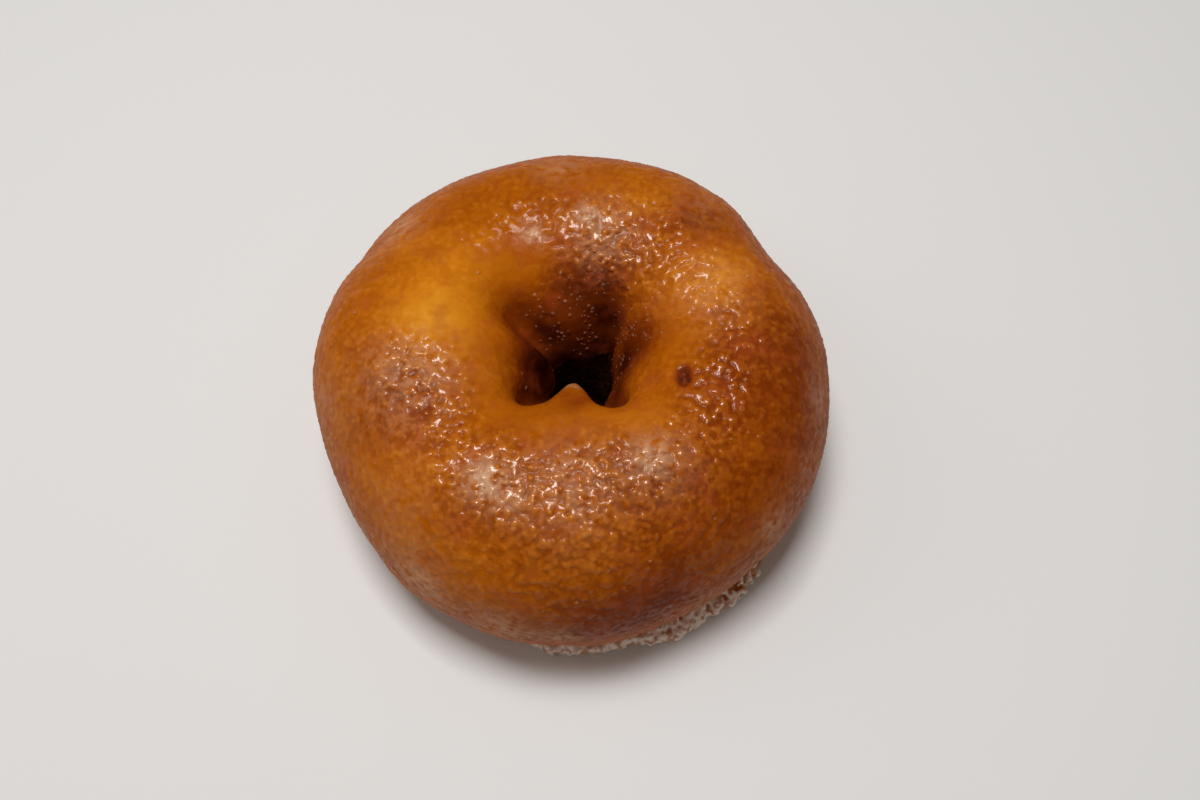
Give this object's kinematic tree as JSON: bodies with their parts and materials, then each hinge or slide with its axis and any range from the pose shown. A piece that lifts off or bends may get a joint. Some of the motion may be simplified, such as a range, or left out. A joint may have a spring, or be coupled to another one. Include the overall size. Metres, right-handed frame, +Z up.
{
  "type": "glazed cake doughnut",
  "caption": "Glazed cake ring doughnut with a pebbly crust, a small folded hole and glaze set round its foot.",
  "frame": {"origin": "on the resting plane, under the middle of the ring's outline", "axes": "+Z up through the hole, from the flat underside to the crown; -Y towards the viewer of the picture, whose front lip holds the small tongue; +X to that viewer's right"},
  "size_m": [0.0854, 0.0828, 0.0394],
  "materials": {
    "glazed_crust": "fried golden-brown crust under a thin, clear, glossy sugar glaze"
  },
  "bodies": {
    "root": {"doughnut": "glazed_crust"}
  },
  "joints": []
}
